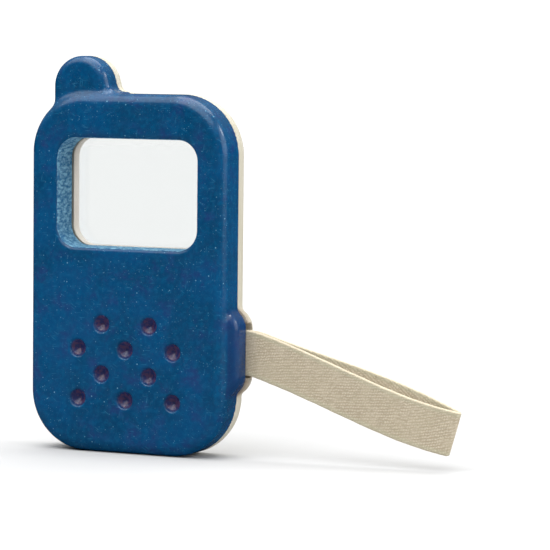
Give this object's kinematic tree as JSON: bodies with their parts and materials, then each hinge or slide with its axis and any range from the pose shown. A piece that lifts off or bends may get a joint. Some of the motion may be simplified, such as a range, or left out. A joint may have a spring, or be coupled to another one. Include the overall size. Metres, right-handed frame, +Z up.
{
  "type": "toy cell phone",
  "caption": "Two-layer wooden toy phone with a clear window, drilled key dimples, a stub aerial and a folded webbing wrist strap.",
  "frame": {"origin": "middle of the body's flat bottom edge, on the surface the phone stands on, at half its thickness", "axes": "+X to the side with the strap lug, +Y to the natural-wood back, +Z up to the aerial; the window and keys face -Y"},
  "size_m": [0.1514, 0.018, 0.1324],
  "materials": {
    "front_layer": "blue-stained wood-fibre composite with pale specks, satin lacquer",
    "back_layer": "natural pale wood, fine grain, clear satin",
    "pane": "clear acrylic sheet, polished",
    "webbing": "undyed cotton webbing, fine diagonal rib",
    "pin": "bright drawn wire",
    "dowel": "plain beech"
  },
  "bodies": {
    "root": {"front_casing": "front_layer", "back_casing": "back_layer", "screen_pane": "pane", "strap_tail": "webbing", "strap_pin_upper": "pin", "strap_pin_lower": "pin", "locating_dowel_1": "dowel", "locating_dowel_2": "dowel", "locating_dowel_3": "dowel", "locating_dowel_4": "dowel"},
    "strap": {"wrist_strap": "webbing"}
  },
  "joints": [
    {"name": "strap_swing", "type": "hinge", "parent": "root", "child": "strap", "pos_m": [0.0422, 0.00345, 0.0351], "axis": [0, 0, 1], "range_deg": [-85, 85]}
  ]
}
